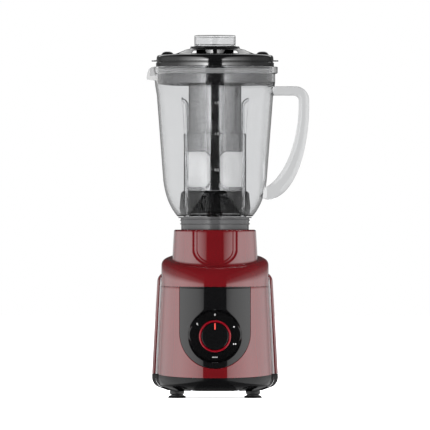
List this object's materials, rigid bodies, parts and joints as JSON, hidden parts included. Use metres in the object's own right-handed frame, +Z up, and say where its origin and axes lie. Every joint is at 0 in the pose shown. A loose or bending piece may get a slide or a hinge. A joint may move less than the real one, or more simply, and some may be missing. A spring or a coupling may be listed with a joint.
{
  "type": "countertop blender",
  "caption": "Countertop blender: red motor base with a dial, clear handled jar with a spout, juice filter, black lid and measuring cap.",
  "frame": {"origin": "on the surface that the feet stand on, in the middle of the whole blender's box; the motor axis is 15 mm to the left, at x = -0.015", "axes": "+Z up along the motor axis, -Y to the front with the dial, +X to the handle, -X to the pouring spout"},
  "size_m": [0.1886, 0.1477, 0.42],
  "materials": {
    "red_shell": "high gloss",
    "dark_red_shell": "high gloss",
    "trim": "satin silver",
    "black_gloss": "high gloss",
    "black_plastic": "satin",
    "rubber": "matt",
    "screw_steel": "zinc plated",
    "ceramic": "matt",
    "wire": "satin",
    "cast_alloy": "as cast",
    "lamination": "oiled",
    "copper": "enamelled",
    "bearing_steel": "ground",
    "brass": "satin",
    "carbon": "matt",
    "spring_steel": "bright",
    "fan_plastic": "satin",
    "knob_red": "high gloss",
    "pointer_red": "gloss",
    "clear_plastic": "clear",
    "grey_plastic": "gloss",
    "silicone": "satin",
    "blade_steel": "polished",
    "filter_grey": "gloss",
    "mesh": "fine woven mesh"
  },
  "bodies": {
    "base": {"top_cover": "red_shell", "front_housing": "red_shell", "rear_housing": "dark_red_shell", "left_trim": "trim", "right_trim": "trim", "control_panel": "black_gloss", "bottom_cover": "black_plastic", "feet": "rubber", "housing_screws": "screw_steel", "cord_gland": "black_plastic", "terminal_block": "ceramic", "wiring": "wire", "upper_bracket": "cast_alloy", "lower_bracket": "cast_alloy", "motor_screws": "screw_steel", "mount_screws": "screw_steel", "motor_mounts": "rubber", "stator_core": "lamination", "stator_coils": "copper", "upper_bearing": "bearing_steel", "lower_bearing": "bearing_steel", "brush_holders": "brass", "carbon_brushes": "carbon", "brush_springs": "spring_steel", "rotary_switch": "black_plastic", "interlock_switch": "black_plastic", "interlock_spring": "spring_steel", "shaft_seal": "rubber"},
    "jar": {"jar": "clear_plastic", "jar_collar": "grey_plastic", "jar_gasket": "silicone", "blade_carrier": "grey_plastic", "blade_bush": "brass", "blade_seal": "rubber"},
    "lid": {"lid": "black_gloss", "lid_seal": "silicone", "filter_tube": "filter_grey", "filter_basket": "filter_grey", "filter_base": "filter_grey", "filter_mesh": "mesh"},
    "cap": {"measuring_cap": "clear_plastic"},
    "blades": {"blade_shaft": "bearing_steel", "driven_coupling": "rubber", "blade_spacers": "blade_steel", "lower_blade": "blade_steel", "upper_blade": "blade_steel", "blade_nut": "blade_steel"},
    "rotor": {"motor_shaft": "bearing_steel", "rotor_core": "lamination", "rotor_windings": "copper", "commutator": "copper", "cooling_fan": "fan_plastic", "drive_coupling": "rubber"},
    "knob": {"switch_shaft": "bearing_steel", "knob_body": "black_gloss", "knob_ring": "knob_red", "knob_pointer": "pointer_red"},
    "interlock": {"interlock_pin": "black_plastic"}
  },
  "joints": [
    {"name": "jar_lift", "type": "slide", "parent": "base", "child": "jar", "axis": [0, 0, 1], "range_m": [0, 0.08]},
    {"name": "lid_lift", "type": "slide", "parent": "jar", "child": "lid", "axis": [0, 0, 1], "range_m": [0, 0.19]},
    {"name": "cap_lift", "type": "slide", "parent": "lid", "child": "cap", "axis": [0, 0, 1], "range_m": [0, 0.04]},
    {"name": "knob_turn", "type": "hinge", "parent": "base", "child": "knob", "pos_m": [-0.015, -0.06, 0.072], "axis": [0, 1, 0], "range_deg": [-55, 180]},
    {"name": "motor_spin", "type": "hinge", "parent": "base", "child": "rotor", "pos_m": [-0.015, 0, 0.1], "axis": [0, 0, 1], "continuous": true},
    {"name": "blade_spin", "type": "hinge", "parent": "jar", "child": "blades", "pos_m": [-0.015, 0, 0.2], "axis": [0, 0, 1], "continuous": true},
    {"name": "interlock_travel", "type": "slide", "parent": "base", "child": "interlock", "axis": [0, 0, 1], "range_m": [0, 0.004], "deforming": ["interlock_spring"]}
  ],
  "couplings": [
    {"joint": "blade_spin", "follows": "motor_spin", "ratio": 1},
    {"joint": "interlock_travel", "follows": "jar_lift", "ratio": 0.05}
  ]
}
